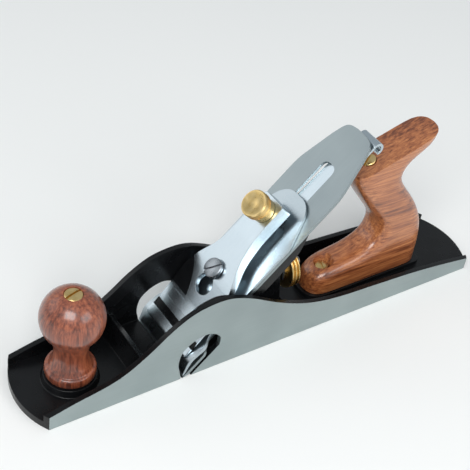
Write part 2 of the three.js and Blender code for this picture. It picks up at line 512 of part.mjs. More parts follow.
// ---- y lever ----
function yLever() {
  const tip = fromBed(TONGUE_S, CAP_FACE - 0.3);
  const out = [BED_COS * 2.1, BED_SIN * 2.1];
  const tongue = side(filleted([[tip[0] - out[0], tip[1] - out[1], 0.6],
    [tip[0] + out[0], tip[1] + out[1], 0.6], [PIVOT[0] + 2, PIVOT[1] + 3.5, 3],
    [FORK_X + FORK_HALF, PIVOT[1] + 2.2, 1.5],
    [FORK_X + FORK_HALF, PIVOT[1] - 2.2, 0], [PIVOT[0] - 2, PIVOT[1] - 3.6, 3]]), -2.6, 2.6);
  const forkHalf = HUB_GROOVE_R + 3.4;
  const blank = block(FORK_X - FORK_HALF, FORK_X + FORK_HALF, -forkHalf, forkHalf,
    WHEEL_Z - 2, PIVOT[1] + 2.2);
  const arch = HUB_GROOVE_R + GAP;
  const archZ = WHEEL_Z + FORK_DROP;
  const fork = cut(blank,
    alongX(rod(arch, FORK_X - 2, FORK_X + 2, 0, 0, 28), archZ),
    block(FORK_X - 2, FORK_X + 2, -arch, arch, WHEEL_Z - 6, archZ));
  const eye = rod(PIN_R + THREAD_GAP, -4, 4).rotate([90, 0, 0]).translate([PIVOT[0], 0, PIVOT[1]]);
  return cut(join(tongue, fork), eye);
}
piece('y_lever', yLever(), darkSteel);
piece('y_lever_pin', rod(PIN_R, -RIB_OUT, RIB_OUT).rotate([90, 0, 0])
  .translate([PIVOT[0], 0, PIVOT[1]]), darkSteel);

// ---- cutting iron and cap iron, in the bed group ----
function ironOutline() {
  return mirrored([[CUTTING_EDGE, IRON_WIDE_HALF], [IRON_SHOULDER - 5, IRON_WIDE_HALF, 2],
    [IRON_SHOULDER, IRON_HALF, 2], [IRON_TAPER, IRON_HALF, 6], [IRON_TOP - 11, 15, 3],
    [IRON_TOP - 1.5, 11.5, 7], [IRON_TOP, 4, 4]]);
}
function cuttingIron() {
  const blank = plate(ironOutline(), IRON_UNDER, IRON_FACE);
  const bevel = side(shapeOf([[CUTTING_EDGE - 1, IRON_FACE + 0.4], [CUTTING_EDGE + 4.4, IRON_UNDER - 0.5],
    [CUTTING_EDGE - 6, IRON_UNDER - 2]]), -HALF - 5, HALF + 5);
  const slot = plate(mirrored([[38, SLOT_HALF, 5], [SLOT_TOP, SLOT_HALF, 5]]), 0, 9);
  return cut(blank, bevel, slot, rod(8.5, 0, 9, 38));
}
piece('cutting_iron', cuttingIron(), groundSteel, bed);

const CAP_EDGE = CUTTING_EDGE + CAP_SET_BACK;
function capIron() {
  const humpTop = CAP_FACE + CAP_HUMP;
  const over = [[CAP_EDGE, CAP_UNDER], [CAP_EDGE + 0.6, CAP_UNDER + 1], [CAP_EDGE + 4.6, humpTop - 2.2],
    [CAP_EDGE + 8.2, humpTop - 0.4], [CAP_EDGE + 12.4, humpTop], [CAP_EDGE + 17.5, humpTop - 1],
    [CAP_EDGE + 24.5, CAP_FACE + 0.5], [CAP_EDGE + 30, CAP_FACE]];
  const top = new THREE.SplineCurve(over.map(([s, n]) => new THREE.Vector2(s, n))).getPoints(18);
  const under = new THREE.SplineCurve([[CAP_EDGE + 29, CAP_UNDER], [CAP_EDGE + 23, CAP_UNDER + 0.6],
    [CAP_EDGE + 16.5, CAP_UNDER + 2.2], [CAP_EDGE + 12, CAP_UNDER + 2.9], [CAP_EDGE + 8, CAP_UNDER + 2.2],
    [CAP_EDGE + 1.2, CAP_UNDER]].map(([s, n]) => new THREE.Vector2(s, n))).getPoints(12);
  const curved = [...top, new THREE.Vector2(CAP_TOP + 5, CAP_FACE),
    new THREE.Vector2(CAP_TOP + 5, CAP_UNDER), ...under];
  const section = side(new THREE.Shape(curved), -HALF, HALF);
  const wideHalf = IRON_WIDE_HALF - 0.3;
  const outline = plate(mirrored([[CAP_EDGE - 1, wideHalf], [IRON_SHOULDER - 2, wideHalf, 3],
    [IRON_SHOULDER + 4, IRON_HALF, 3], [96, IRON_HALF, 4], [CAP_TOP - 5, 13, 6], [CAP_TOP, 7, 5]]), 0, 20);
  const screwSlot = plate(mirrored([[SCREW_S - 7, 4.2, 4], [SCREW_S + 6.5, 4.2, 4]]), 0, 20);
  const tongueHole = block(TONGUE_S - 3.2, TONGUE_S + 3.2, -3.1, 3.1, 0, 20);
  const screwHole = rod(CAP_SCREW_R + THREAD_GAP, 0, 20, CAP_SCREW_S);
  return cut(keep(section, outline), screwSlot, tongueHole, screwHole);
}
piece('cap_iron', capIron(), nickel, bed);
const capHeadTop = IRON_UNDER - GAP;
piece('cap_iron_screw', cut(turned([[0, capHeadTop - 2.6], [7.6, capHeadTop - 2.6], [8, capHeadTop - 2],
  [8, capHeadTop], [CAP_SCREW_R, capHeadTop], [CAP_SCREW_R, CAP_FACE], [0, CAP_FACE]], CAP_SCREW_S),
  block(CAP_SCREW_S - 0.7, CAP_SCREW_S + 0.7, -9, 9, capHeadTop - 4, capHeadTop - 1.4)), darkSteel, bed);

// ---- lateral lever ----
const LATERAL = 1.8;
const LATERAL_UNDER = FROG_FACE - 2.6 + GAP;
const CURL_R = 4.2;
function lateralLever() {
  const strip = plate(mirrored([[DISC_S - 5, 5, 4], [LATERAL_S + 4, 5.6, 6], [IRON_TOP - 16, 4.2, 6],
    [IRON_TOP - 8, 4.6]]), LATERAL_UNDER, LATERAL_UNDER + LATERAL);
  const curlS = IRON_TOP - 1.2;
  const curl = new THREE.Shape();
  curl.moveTo(IRON_TOP - 11, LATERAL_UNDER);
  curl.lineTo(curlS, LATERAL_UNDER);
  curl.absarc(curlS, LATERAL_UNDER + LATERAL - CURL_R, CURL_R - LATERAL, Math.PI / 2, -2.2, true);
  curl.absarc(curlS, LATERAL_UNDER + LATERAL - CURL_R, CURL_R, -2.2, Math.PI / 2, false);
  curl.lineTo(IRON_TOP - 11, LATERAL_UNDER + LATERAL);
  const tab = side(curl, -12.5, 2.8, 8);
  return cut(join(strip, tab), rod(RIVET_R + THREAD_GAP, -5, 5, LATERAL_S),
    rod(1.6 + THREAD_GAP, -5, 5, DISC_S));
}
piece('lateral_lever', lateralLever(), nickel, bed);
const discUnder = LATERAL_UNDER + LATERAL + GAP;
piece('lateral_disc', turned([[0, LATERAL_UNDER], [1.6, LATERAL_UNDER], [1.6, discUnder], [5.1, discUnder],
  [5.1, CAP_UNDER - 0.4], [0, CAP_UNDER - 0.4]], DISC_S), darkSteel, bed);
const rivetEnd = FROG_FACE - FROG_THICK + 1;
piece('lateral_rivet', turned([[0, rivetEnd], [RIVET_R, rivetEnd], [RIVET_R, discUnder], [3.2, discUnder],
  [2.6, discUnder + 1.1], [0, discUnder + 1.3]], LATERAL_S), darkSteel, bed);

// ---- lever cap ----
const LIP_REST = CAP_FACE + CAP_HUMP + GAP;
// Upper and lower side lines as [s, height over the lip's rest].
const LEVER_OVER = [[LEVER_LIP, 0.5], [LEVER_LIP + 1.6, 1.4], [LEVER_LIP + 6.5, 1.5], [29, 3], [41, 5.2],
  [54, 7.5], [70, 9.4], [85, 11.2], [98, 11.9]];
const LEVER_UNDER = [[98, 2], [62, 2], [48, 1.6], [30, 0.4], [LEVER_LIP + 8, 0]];
const LEVER_TOP_LEVEL = LIP_REST + 12;
function leverLine(points) {
  return new THREE.SplineCurve(points.map(([s, up]) => new THREE.Vector2(s, LIP_REST + up)));
}
function leverSection(drop, from = LEVER_LIP) {
  const over = leverLine(LEVER_OVER).getPoints(20).filter((point) => point.x >= from);
  return new THREE.Shape([...over.map((point) => new THREE.Vector2(point.x, point.y - drop)),
    new THREE.Vector2(LEVER_TOP, LEVER_TOP_LEVEL - drop), new THREE.Vector2(LEVER_TOP, LIP_REST + 2),
    ...leverLine(LEVER_UNDER).getPoints(10), new THREE.Vector2(from, LIP_REST)]);
}
const leverPlan = (inset) => [[LEVER_LIP + inset, LEVER_WIDE_HALF - inset, 3],
  [46, LEVER_WIDE_HALF - inset, 6], [59, 17 - inset, 6], [70, 11.5 - inset, 10],
  [86, LEVER_NARROW_HALF - inset, 10], [LEVER_TOP - inset, LEVER_NARROW_HALF - inset, 2]];
const TONGUE_PLAN = [[27.5, 4.4], [36, 7.2, 6], [48, 13.8, 10], [56, LEVER_WIDE_HALF + 1]];
function leverCap() {
  const outer = keep(side(leverSection(0), -HALF, HALF), plate(mirrored(leverPlan(0)), 0, 40));
  const under = side(shapeOf([[34, LIP_REST - 9], [LEVER_TOP + 5, LIP_REST - 9],
    [LEVER_TOP + 5, LEVER_TOP_LEVEL - LEVER_WALL], [98, LEVER_TOP_LEVEL - LEVER_WALL],
    [70, LIP_REST + 9.4 - LEVER_WALL], [54, LIP_REST + 7.5 - LEVER_WALL],
    [34, LIP_REST + 0.6]]), -HALF, HALF);
  const pocket = keep(under, plate(mirrored(leverPlan(LEVER_WALL)), 0, 40));
  const thumbBoss = rod(6, LIP_REST + 4, LEVER_TOP_LEVEL, THUMB_S);
  const screwBoss = plate(mirrored([[30, 9, 4], [64, 8, 4]]), LIP_REST + 2, LEVER_TOP_LEVEL);
  const hollow = cut(pocket, thumbBoss, screwBoss);

  const beyond = LEVER_WIDE_HALF + 1;
  const paint = cut(plate(mirrored([[LEVER_LIP + 7.5, beyond], [56, beyond]]), 0, 40),
    plate(mirrored(TONGUE_PLAN), -1, 41), side(leverSection(RECESS, LEVER_LIP + 7), -HALF, HALF));
  const panel = plate(mirrored([[23, 18, 0.6], [29.2, 18, 0.6]]), -1, 41);
  const recess = keep(cut(paint, panel), block(0, 60, -HALF, HALF, LIP_REST, 40));

  const lobeS = SCREW_S - RELEASE;
  const keyhole = [rod(LEVER_HEAD_R + 0.5, 0, 40, lobeS, 0, 24),
    plate(mirrored([[lobeS, LEVER_SCREW_R + 0.5],
      [SCREW_S + LEVER_SCREW_R + 0.6, LEVER_SCREW_R + 0.5, 3]]), 0, 40)];
  return cut(outer, hollow, recess, ...keyhole,
    rod(STEM_R + THREAD_GAP, 0, 40, THUMB_S));
}
piece('lever_cap', leverCap(), nickel, bed);
const leverHeadUnder = LIP_REST + 8 + GAP + 0.6;
const leverHeadTop = leverHeadUnder + LEVER_HEAD;
const leverScrewEnd = FROG_FACE - FROG_THICK + 0.6;
piece('lever_cap_screw', cut(turned([[0, leverScrewEnd], [LEVER_SCREW_R, leverScrewEnd],
  [LEVER_SCREW_R, leverHeadUnder], [LEVER_HEAD_R, leverHeadUnder], [LEVER_HEAD_R, leverHeadTop - 0.5],
  [LEVER_HEAD_R - 0.8, leverHeadTop], [0, leverHeadTop]], SCREW_S),
  slotCut(SCREW_S, 0, leverHeadTop, LEVER_HEAD_R + 1, 1.3, 1.2, -35)), nickel, bed);

// ---- thumbscrew ----
const thumbUnder = LEVER_TOP_LEVEL + GAP;
const stemTop = thumbUnder + THUMB_NECK;
piece('thumbscrew_stem', turned([[0, CAP_FACE + GAP], [3, CAP_FACE + GAP], [3.6, CAP_FACE + GAP + 0.6],
  [3.6, CAP_FACE + GAP + 1.8], [STEM_R, CAP_FACE + GAP + 2.4], [STEM_R, stemTop], [0, stemTop]], THUMB_S),
  darkSteel, bed);
const headUnder = thumbUnder + THUMB_NECK;
const headTop = headUnder + THUMB_HEAD;
piece('thumb_knob', cut(turned([[0, thumbUnder], [THUMB_R - 1, thumbUnder], [THUMB_R - 1, headUnder],
  [THUMB_R - 0.4, headUnder], [THUMB_R, headUnder + 0.5], [THUMB_R, headTop - 0.6],
  [THUMB_R - 0.7, headTop], [0, headTop - 2.2]], THUMB_S, 0, 36),
  rod(STEM_R + THREAD_GAP, thumbUnder - 1, stemTop + GAP, THUMB_S)), brass, bed);

export default plane;
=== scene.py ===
import json
import math

import bmesh
import bpy
from mathutils import Matrix, Vector


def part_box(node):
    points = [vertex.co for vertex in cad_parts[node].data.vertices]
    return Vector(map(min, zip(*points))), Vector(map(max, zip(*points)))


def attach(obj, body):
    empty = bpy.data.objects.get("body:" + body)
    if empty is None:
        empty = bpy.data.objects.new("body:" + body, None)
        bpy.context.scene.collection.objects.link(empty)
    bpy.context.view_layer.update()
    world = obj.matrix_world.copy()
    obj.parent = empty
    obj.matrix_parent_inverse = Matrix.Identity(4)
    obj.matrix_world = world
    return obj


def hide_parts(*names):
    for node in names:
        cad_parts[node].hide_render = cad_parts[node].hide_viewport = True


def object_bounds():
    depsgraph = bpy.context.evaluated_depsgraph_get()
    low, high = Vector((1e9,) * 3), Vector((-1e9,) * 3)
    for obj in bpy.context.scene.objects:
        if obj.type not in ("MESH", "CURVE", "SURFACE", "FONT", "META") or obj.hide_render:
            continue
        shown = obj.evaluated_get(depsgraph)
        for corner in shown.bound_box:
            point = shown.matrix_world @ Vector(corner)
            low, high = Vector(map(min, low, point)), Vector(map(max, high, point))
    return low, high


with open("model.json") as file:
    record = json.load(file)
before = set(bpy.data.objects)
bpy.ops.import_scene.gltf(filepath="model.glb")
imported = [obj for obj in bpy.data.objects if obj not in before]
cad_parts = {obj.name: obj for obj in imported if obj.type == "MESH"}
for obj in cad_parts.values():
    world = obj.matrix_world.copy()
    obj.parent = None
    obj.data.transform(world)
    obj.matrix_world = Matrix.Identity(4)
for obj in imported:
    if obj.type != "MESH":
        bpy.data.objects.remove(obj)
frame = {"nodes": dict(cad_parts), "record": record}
cad_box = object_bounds()

MM = 0.001
UPRIGHT = 0.0
ALONG_SOLE = math.radians(90)              # a piece whose axis runs along the sole
BED = -math.radians(45)                    # a piece square to the bed
TOTE_BOLT = -math.radians(25)              # the bolt that leans through the tote


# ---- workshop helpers ----
def deselect_all():
    for other in bpy.context.selected_objects:
        other.select_set(False)


def take(obj):
    """Makes obj the only selected and active object."""
    deselect_all()
    obj.select_set(True)
    bpy.context.view_layer.objects.active = obj


def start_editing(obj):
    take(obj)
    bpy.ops.object.mode_set(mode="EDIT")


def stop_editing():
    bpy.ops.object.mode_set(mode="OBJECT")


def choose(obj, kind, test):
    """In edit mode, selects the faces or edges whose middle and normal pass the test."""
    bpy.ops.mesh.select_all(action="DESELECT")
    bpy.ops.mesh.select_mode(type=kind)
    mesh = bmesh.from_edit_mesh(obj.data)
    for element in (mesh.faces if kind == "FACE" else mesh.edges):
        middle = sum((v.co for v in element.verts), Vector()) / len(element.verts)
        if kind == "FACE":
            normal = element.normal
        else:
            normal = sum((face.normal for face in element.link_faces), Vector()).normalized()
        if test(middle, normal):
            element.select_set(True)
    bmesh.update_edit_mesh(obj.data)


def apply_modifier(obj, kind, settings):
    take(obj)
    modifier = obj.modifiers.new(kind.lower(), kind)
    for name, value in settings.items():
        setattr(modifier, name, value)
    bpy.ops.object.modifier_apply(modifier=modifier.name)


def outward_faces(obj):
    start_editing(obj)
    bpy.ops.mesh.select_all(action="SELECT")
    bpy.ops.mesh.remove_doubles(threshold=1e-6)
    bpy.ops.mesh.normals_make_consistent(inside=False)
    stop_editing()


def cut_away(obj, cutter):
    """Cuts one solid out of another and clears the cutter away."""
    apply_modifier(obj, "BOOLEAN", {"object": cutter, "operation": "DIFFERENCE", "solver": "EXACT"})
    bpy.data.objects.remove(cutter)


def keep_within(obj, other):
    """Keeps only what two solids share and clears the second away."""
    apply_modifier(obj, "BOOLEAN", {"object": other, "operation": "INTERSECT", "solver": "EXACT"})
    bpy.data.objects.remove(other)


def smooth(obj, angle=35):
    take(obj)
    bpy.ops.object.shade_smooth_by_angle(angle=math.radians(angle))


def ease_edges(obj, width, segments=2, angle=30):
    """Takes the sharpness off the edges, as tumbling and a file do, and keeps the flats flat."""
    apply_modifier(obj, "BEVEL", {
        "width": width * MM, "segments": segments, "limit_method": "ANGLE",
        "angle_limit": math.radians(angle), "use_clamp_overlap": False})
    smooth(obj, 40)
    apply_modifier(obj, "WEIGHTED_NORMAL", {"keep_sharp": True, "weight": 60})


def local_box(node, turn):
    """Lowest and highest corner of a node in its own upright position, before the turn about Y."""
    back = Matrix.Rotation(-turn, 3, "Y")
    points = [back @ v.co for v in frame["nodes"][node].data.vertices]
    low = Vector([min(p[i] for p in points) for i in range(3)])
    high = Vector([max(p[i] for p in points) for i in range(3)])
    return low, high


def settle(obj, turn):
    """Turns a piece about Y into place and leaves its object at the origin."""
    take(obj)
    obj.rotation_euler = (0, turn, 0)
    bpy.ops.object.transform_apply(location=True, rotation=True, scale=True)


def smooth_line(points, steps=6):
    """A soft line through [radius, height] points, with steps between each two."""
    line = []
    for i in range(len(points) - 1):
        before = Vector(points[max(i - 1, 0)])
        here = Vector(points[i])
        after = Vector(points[i + 1])
        beyond = Vector(points[min(i + 2, len(points) - 1)])
        for step in range(steps):
            t = step / steps
            line.append(0.5 * (2 * here + (after - before) * t
                               + (2 * before - 5 * here + 4 * after - beyond) * t ** 2
                               + (3 * here - before - 3 * after + beyond) * t ** 3))
    line.append(Vector(points[-1]))
    return [(p.x, p.y) for p in line]


def lathe(name, profile, centre, sides=64):
    """A round piece: a filled ring drawn up through [radius, height] steps, in metres."""
    deselect_all()
    radius, height = profile[0]
    bpy.ops.mesh.primitive_circle_add(
        vertices=sides, radius=radius, fill_type="NGON", location=(centre[0], centre[1], height))
    obj = bpy.context.object
    obj.name = obj.data.name = name
    take(obj)
    bpy.ops.object.transform_apply(location=True, rotation=True, scale=True)
    start_editing(obj)
    bpy.ops.mesh.select_all(action="SELECT")
    for next_radius, next_height in profile[1:]:
        bpy.ops.mesh.extrude_region_move(
            TRANSFORM_OT_translate={"value": (0, 0, next_height - height)})
        grow = next_radius / radius
        bpy.ops.transform.resize(
            value=(grow, grow, 1), center_override=(centre[0], centre[1], next_height))
        radius, height = next_radius, next_height
    stop_editing()
    outward_faces(obj)
    return obj


def block(name, size, centre, turn=0.0):
    """A rectangular cutter, turned about its upright axis."""
    deselect_all()
    bpy.ops.mesh.primitive_cube_add(size=1, location=centre, rotation=(0, 0, turn))
    obj = bpy.context.object
    obj.name = name
    obj.scale = size
    take(obj)
    bpy.ops.object.transform_apply(location=True, rotation=True, scale=True)
    return obj


def saw_slot(obj, centre, top, length, width, depth, turn):
    """The driver slot across a screw head."""
    height = depth + 2 * MM
    saw = block("saw", (length, width, height), (centre[0], centre[1], top - depth + height / 2),
                math.radians(turn))
    cut_away(obj, saw)


def bore(obj, centre, radius, low, high, sides=64):
    drill = lathe("drill", [(radius, low), (radius, high)], centre, sides)
    cut_away(obj, drill)


def knurl(obj, centre, sides, depth, on_rim):
    """Presses every second strip of the rim in, which leaves straight teeth."""
    start_editing(obj)

    def is_tooth_gap(middle, normal):
        spoke = Vector((middle.x - centre[0], middle.y - centre[1]))
        number = round(math.atan2(spoke.y, spoke.x) / (2 * math.pi) * sides - 0.5)
        return number % 2 == 0 and abs(normal.z) < 0.2 and on_rim(spoke.length, middle.z)
    choose(obj, "FACE", is_tooth_gap)
    bpy.ops.mesh.extrude_region_shrink_fatten(
        TRANSFORM_OT_shrink_fatten={"value": -depth, "use_even_offset": True})
    stop_editing()
    outward_faces(obj)


def thread(radius, low, high, pitch, depth):
    """Profile steps for the rings of a screw thread."""
    steps = []
    count = max(int((high - low) / pitch), 1)
    pitch = (high - low) / count
    for i in range(count):
        at = low + i * pitch
        steps += [(radius - depth, at + 0.1 * pitch), (radius, at + 0.45 * pitch),
                  (radius, at + 0.6 * pitch), (radius - depth, at + 0.95 * pitch)]
    return steps


def refined(node, name):
    """A copy of a CAD node as one joined skin with its flat areas whole."""
    obj = frame["nodes"][node].copy()
    obj.data = frame["nodes"][node].data.copy()
    bpy.context.scene.collection.objects.link(obj)
    obj.parent = None
    for key in list(obj.keys()):
        del obj[key]
    obj.name = obj.data.name = name
    obj.data.materials.clear()
    take(obj)
    bpy.ops.mesh.customdata_custom_splitnormals_clear()
    start_editing(obj)
    bpy.ops.mesh.select_all(action="SELECT")
    bpy.ops.mesh.remove_doubles(threshold=2e-6)
    bpy.ops.mesh.dissolve_limited(angle_limit=math.radians(0.6))
    bpy.ops.mesh.normals_make_consistent(inside=False)
    stop_editing()
    return obj


def wear(obj, materials, which=None):
    """Gives a piece its materials; which(middle, normal) says the number for each face."""
    obj.data.materials.clear()
    for material in materials:
        obj.data.materials.append(material)
    for face in obj.data.polygons:
        face.material_index = which(face.center, face.normal) if which else 0


def body_of(node):
    bodies = frame["record"]["behaviour"]["bodies"]
    return next(body for body, nodes in bodies.items() if node in nodes)


def stands_for(obj, node):
    """The finished piece takes the node's place and body, and the node is hidden."""
    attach(obj, body_of(node))
    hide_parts(node)
    return obj


# ---- materials ----
FACTOR, FIRST, SECOND, MIXED = 0, 6, 7, 2  # sockets of a colour mix


def colour(hex_value):
    """An sRGB hex colour as linear light."""
    parts = [int(hex_value[i:i + 2], 16) / 255 for i in (1, 3, 5)]
    return tuple(p / 12.92 if p <= 0.04045 else ((p + 0.055) / 1.055) ** 2.4 for p in parts) + (1,)


def add(tree, kind, settings=None, values=None, links=None, stops=None):
    """Adds a node with its settings, socket values, links and, on a ramp, its stops."""
    made = tree.nodes.new(kind)
    for name, value in (settings or {}).items():
        setattr(made, name, value)
    for socket, value in (values or {}).items():
        made.inputs[socket].default_value = value
    for socket, source in (links or {}).items():
        tree.links.new(source, made.inputs[socket])
    if stops:
        ramp = made.color_ramp.elements
        while len(ramp) < len(stops):
            ramp.new(1.0)
        for element, (place, hex_value) in zip(ramp, stops):
            element.position = place
            element.color = colour(hex_value)
    return made


def new_material(name, shader_values):
    """A material with a Principled shader, returned with its tree and shader."""
    material = bpy.data.materials.new(name)
    material.use_nodes = True
    tree = material.node_tree
    tree.nodes.clear()
    shader = add(tree, "ShaderNodeBsdfPrincipled", values=shader_values)
    add(tree, "ShaderNodeOutputMaterial", links={"Surface": shader.outputs["BSDF"]})
    return material, tree, shader


def piece_coordinates(tree, turn=0.0, centre=(0, 0, 0)):
    """Object coordinates measured from the piece's centre, with its own axis upright."""
    here = add(tree, "ShaderNodeTexCoord")
    moved = add(tree, "ShaderNodeMapping",
                values={"Location": [-c for c in centre]}, links={"Vector": here.outputs["Object"]})
    turned = add(tree, "ShaderNodeMapping",
                 values={"Rotation": (0, -turn, 0)}, links={"Vector": moved.outputs["Vector"]})
    return turned.outputs["Vector"]


def per_mm(x, y, z):
    """Mapping scale that makes one unit of a pattern x, y and z millimetres long."""
    return (1 / (x * MM), 1 / (y * MM), 1 / (z * MM))


def stoved_black_enamel():
    # Gloss stoving enamel on a sand casting: deep black with a faint orange peel and long soft glints.
    material, tree, shader = new_material("stoved_black_enamel", {
        "Metallic": 0.0, "IOR": 1.5, "Specular IOR Level": 0.3})
    place = piece_coordinates(tree)
    fine = add(tree, "ShaderNodeMapping", values={"Scale": per_mm(2.2, 2.2, 2.2)}, links={"Vector": place})
    coarse = add(tree, "ShaderNodeMapping", values={"Scale": per_mm(14, 14, 14)}, links={"Vector": place})
    peel = add(tree, "ShaderNodeTexNoise", values={"Scale": 1.0, "Detail": 2.0},
               links={"Vector": fine.outputs["Vector"]})
    cast = add(tree, "ShaderNodeTexNoise", values={"Scale": 1.0, "Detail": 4.0},
               links={"Vector": coarse.outputs["Vector"]})
    tint = add(tree, "ShaderNodeValToRGB", links={"Fac": cast.outputs["Fac"]},
               stops=[(0.3, "#090a0b"), (0.7, "#111214")])
    gloss = add(tree, "ShaderNodeMapRange", values={
        "From Min": 0.3, "From Max": 0.7, "To Min": 0.22, "To Max": 0.34},
        links={"Value": cast.outputs["Fac"]})
    height = add(tree, "ShaderNodeMath", {"operation": "MULTIPLY_ADD"}, {1: 0.35},
                 {0: peel.outputs["Fac"], 2: cast.outputs["Fac"]})
    relief = add(tree, "ShaderNodeBump", values={"Strength": 0.18, "Distance": 0.25 * MM},
                 links={"Height": height.outputs[0]})
    tree.links.new(tint.outputs["Color"], shader.inputs["Base Color"])
    tree.links.new(gloss.outputs["Result"], shader.inputs["Roughness"])
    tree.links.new(relief.outputs["Normal"], shader.inputs["Normal"])
    return material


def ground_metal(name, tones, roughness, turn, lines_mm, strength):
    """Metal off a surface grinder: fine lines one way and slow, faint changes of sheen."""
    material, tree, shader = new_material(name, {"Metallic": 1.0})
    place = piece_coordinates(tree, turn)
    along = add(tree, "ShaderNodeMapping", values={"Scale": per_mm(*lines_mm)}, links={"Vector": place})
    broad = add(tree, "ShaderNodeMapping", values={"Scale": per_mm(34, 34, 34)}, links={"Vector": place})
    lines = add(tree, "ShaderNodeTexNoise", values={"Scale": 1.0, "Detail": 3.0, "Roughness": 0.6},
                links={"Vector": along.outputs["Vector"]})
    cloud = add(tree, "ShaderNodeTexNoise", values={"Scale": 1.0, "Detail": 2.0},
                links={"Vector": broad.outputs["Vector"]})
    blend = add(tree, "ShaderNodeMath", {"operation": "MULTIPLY_ADD"}, {1: 0.4},
                {0: lines.outputs["Fac"], 2: cloud.outputs["Fac"]})
    tone = add(tree, "ShaderNodeValToRGB", links={"Fac": blend.outputs[0]},
               stops=[(0.45, tones[0]), (0.95, tones[1])])
    sheen = add(tree, "ShaderNodeMapRange", values={
        "From Min": 0.3, "From Max": 0.7, "To Min": roughness[0], "To Max": roughness[1]},
        links={"Value": cloud.outputs["Fac"]})
    relief = add(tree, "ShaderNodeBump", values={"Strength": strength, "Distance": 0.03 * MM},
                 links={"Height": lines.outputs["Fac"]})
    tree.links.new(tone.outputs["Color"], shader.inputs["Base Color"])
    tree.links.new(sheen.outputs["Result"], shader.inputs["Roughness"])
    tree.links.new(relief.outputs["Normal"], shader.inputs["Normal"])
    return material


def lacquered_hardwood(name, grain_turn, tones):
    # Lacquered tropical hardwood: close reddish-brown grain, fine dark pores and a clear gloss.
    material, tree, shader = new_material(name, {
        "Metallic": 0.0, "IOR": 1.5, "Coat Weight": 0.8, "Coat Roughness": 0.16})
    place = piece_coordinates(tree, grain_turn)
    slow = add(tree, "ShaderNodeMapping", values={"Scale": per_mm(18, 18, 110)}, links={"Vector": place})
    drift = add(tree, "ShaderNodeTexNoise", values={"Scale": 1.0, "Detail": 2.0},
                links={"Vector": slow.outputs["Vector"]})
    bent = add(tree, "ShaderNodeVectorMath", {"operation": "MULTIPLY_ADD"}, {1: (0.006, 0.006, 0.006)},
               {0: drift.outputs["Color"], 2: place})
    fibre = add(tree, "ShaderNodeMapping", values={"Scale": per_mm(1.6, 1.6, 40)},
                links={"Vector": bent.outputs[0]})
    streak = add(tree, "ShaderNodeTexNoise", values={"Scale": 1.0, "Detail": 5.0, "Roughness": 0.6},
                 links={"Vector": fibre.outputs["Vector"]})
    short = add(tree, "ShaderNodeMapping", values={"Scale": per_mm(0.45, 0.45, 6)}, links={"Vector": place})
    pores = add(tree, "ShaderNodeTexNoise", values={"Scale": 1.0, "Detail": 2.0},
                links={"Vector": short.outputs["Vector"]})
    figure = add(tree, "ShaderNodeMath", {"operation": "MULTIPLY_ADD"}, {1: 0.5},
                 {0: drift.outputs["Fac"], 2: streak.outputs["Fac"]})
    tone = add(tree, "ShaderNodeValToRGB", links={"Fac": figure.outputs[0]}, stops=[
        (0.56, tones[0]), (0.7, tones[1]), (0.82, tones[2]), (0.96, tones[3])])
    dark = add(tree, "ShaderNodeMapRange", values={
        "From Min": 0.3, "From Max": 0.42, "To Min": 0.6, "To Max": 0.0},
        links={"Value": pores.outputs["Fac"]})
    wood = add(tree, "ShaderNodeMix", {"data_type": "RGBA"}, {SECOND: colour(tones[0])},
               {FACTOR: dark.outputs["Result"], FIRST: tone.outputs["Color"]})
    gloss = add(tree, "ShaderNodeMapRange", values={
        "From Min": 0.3, "From Max": 0.7, "To Min": 0.38, "To Max": 0.5},
        links={"Value": streak.outputs["Fac"]})
    relief = add(tree, "ShaderNodeBump", values={"Strength": 0.08, "Distance": 0.05 * MM},
                 links={"Height": pores.outputs["Fac"]})
    tree.links.new(wood.outputs[MIXED], shader.inputs["Base Color"])
    tree.links.new(gloss.outputs["Result"], shader.inputs["Roughness"])
    tree.links.new(relief.outputs["Normal"], shader.inputs["Normal"])
    return material


def turned_metal(name, node, turn, tones, roughness, ring_mm=1.1):
    """Metal off the lathe: rings round the piece's axis and a bright sheen."""
    low, high = local_box(node, turn)
    middle = (low + high) / 2
    centre = Matrix.Rotation(turn, 3, "Y") @ middle
    material, tree, shader = new_material(name, {"Metallic": 1.0})
    place = piece_coordinates(tree, turn, centre)
    pitch = add(tree, "ShaderNodeMapping", values={"Scale": per_mm(ring_mm, ring_mm, ring_mm)},
                links={"Vector": place})
    rings = add(tree, "ShaderNodeTexWave", {"wave_type": "RINGS", "rings_direction": "Z"},
                {"Scale": 1.0, "Distortion": 0.6, "Detail": 2.0}, {"Vector": pitch.outputs["Vector"]})
    patches = add(tree, "ShaderNodeMapping", values={"Scale": per_mm(4, 4, 4)}, links={"Vector": place})
    haze = add(tree, "ShaderNodeTexNoise", values={"Scale": 1.0, "Detail": 3.0},
               links={"Vector": patches.outputs["Vector"]})
    tone = add(tree, "ShaderNodeValToRGB", links={"Fac": haze.outputs["Fac"]},
               stops=[(0.3, tones[0]), (0.7, tones[1])])
    sheen = add(tree, "ShaderNodeMapRange", values={
        "From Min": 0.3, "From Max": 0.7, "To Min": roughness[0], "To Max": roughness[1]},
        links={"Value": haze.outputs["Fac"]})
    relief = add(tree, "ShaderNodeBump", values={"Strength": 0.12, "Distance": 0.04 * MM},
                 links={"Height": rings.outputs["Fac"]})
    tree.links.new(tone.outputs["Color"], shader.inputs["Base Color"])
    tree.links.new(sheen.outputs["Result"], shader.inputs["Roughness"])
    tree.links.new(relief.outputs["Normal"], shader.inputs["Normal"])
    return material


BRASS = ("#dcbc7a", "#ecd096")
STEEL = ("#8d9398", "#a9afb4")
DARK_STEEL = ("#54585c", "#70757a")


def turned_brass(node, turn):
    # Lacquered yellow brass, faced in a lathe: warm and bright with fine rings.
    return turned_metal("turned_brass_" + node, node, turn, BRASS, (0.26, 0.34))


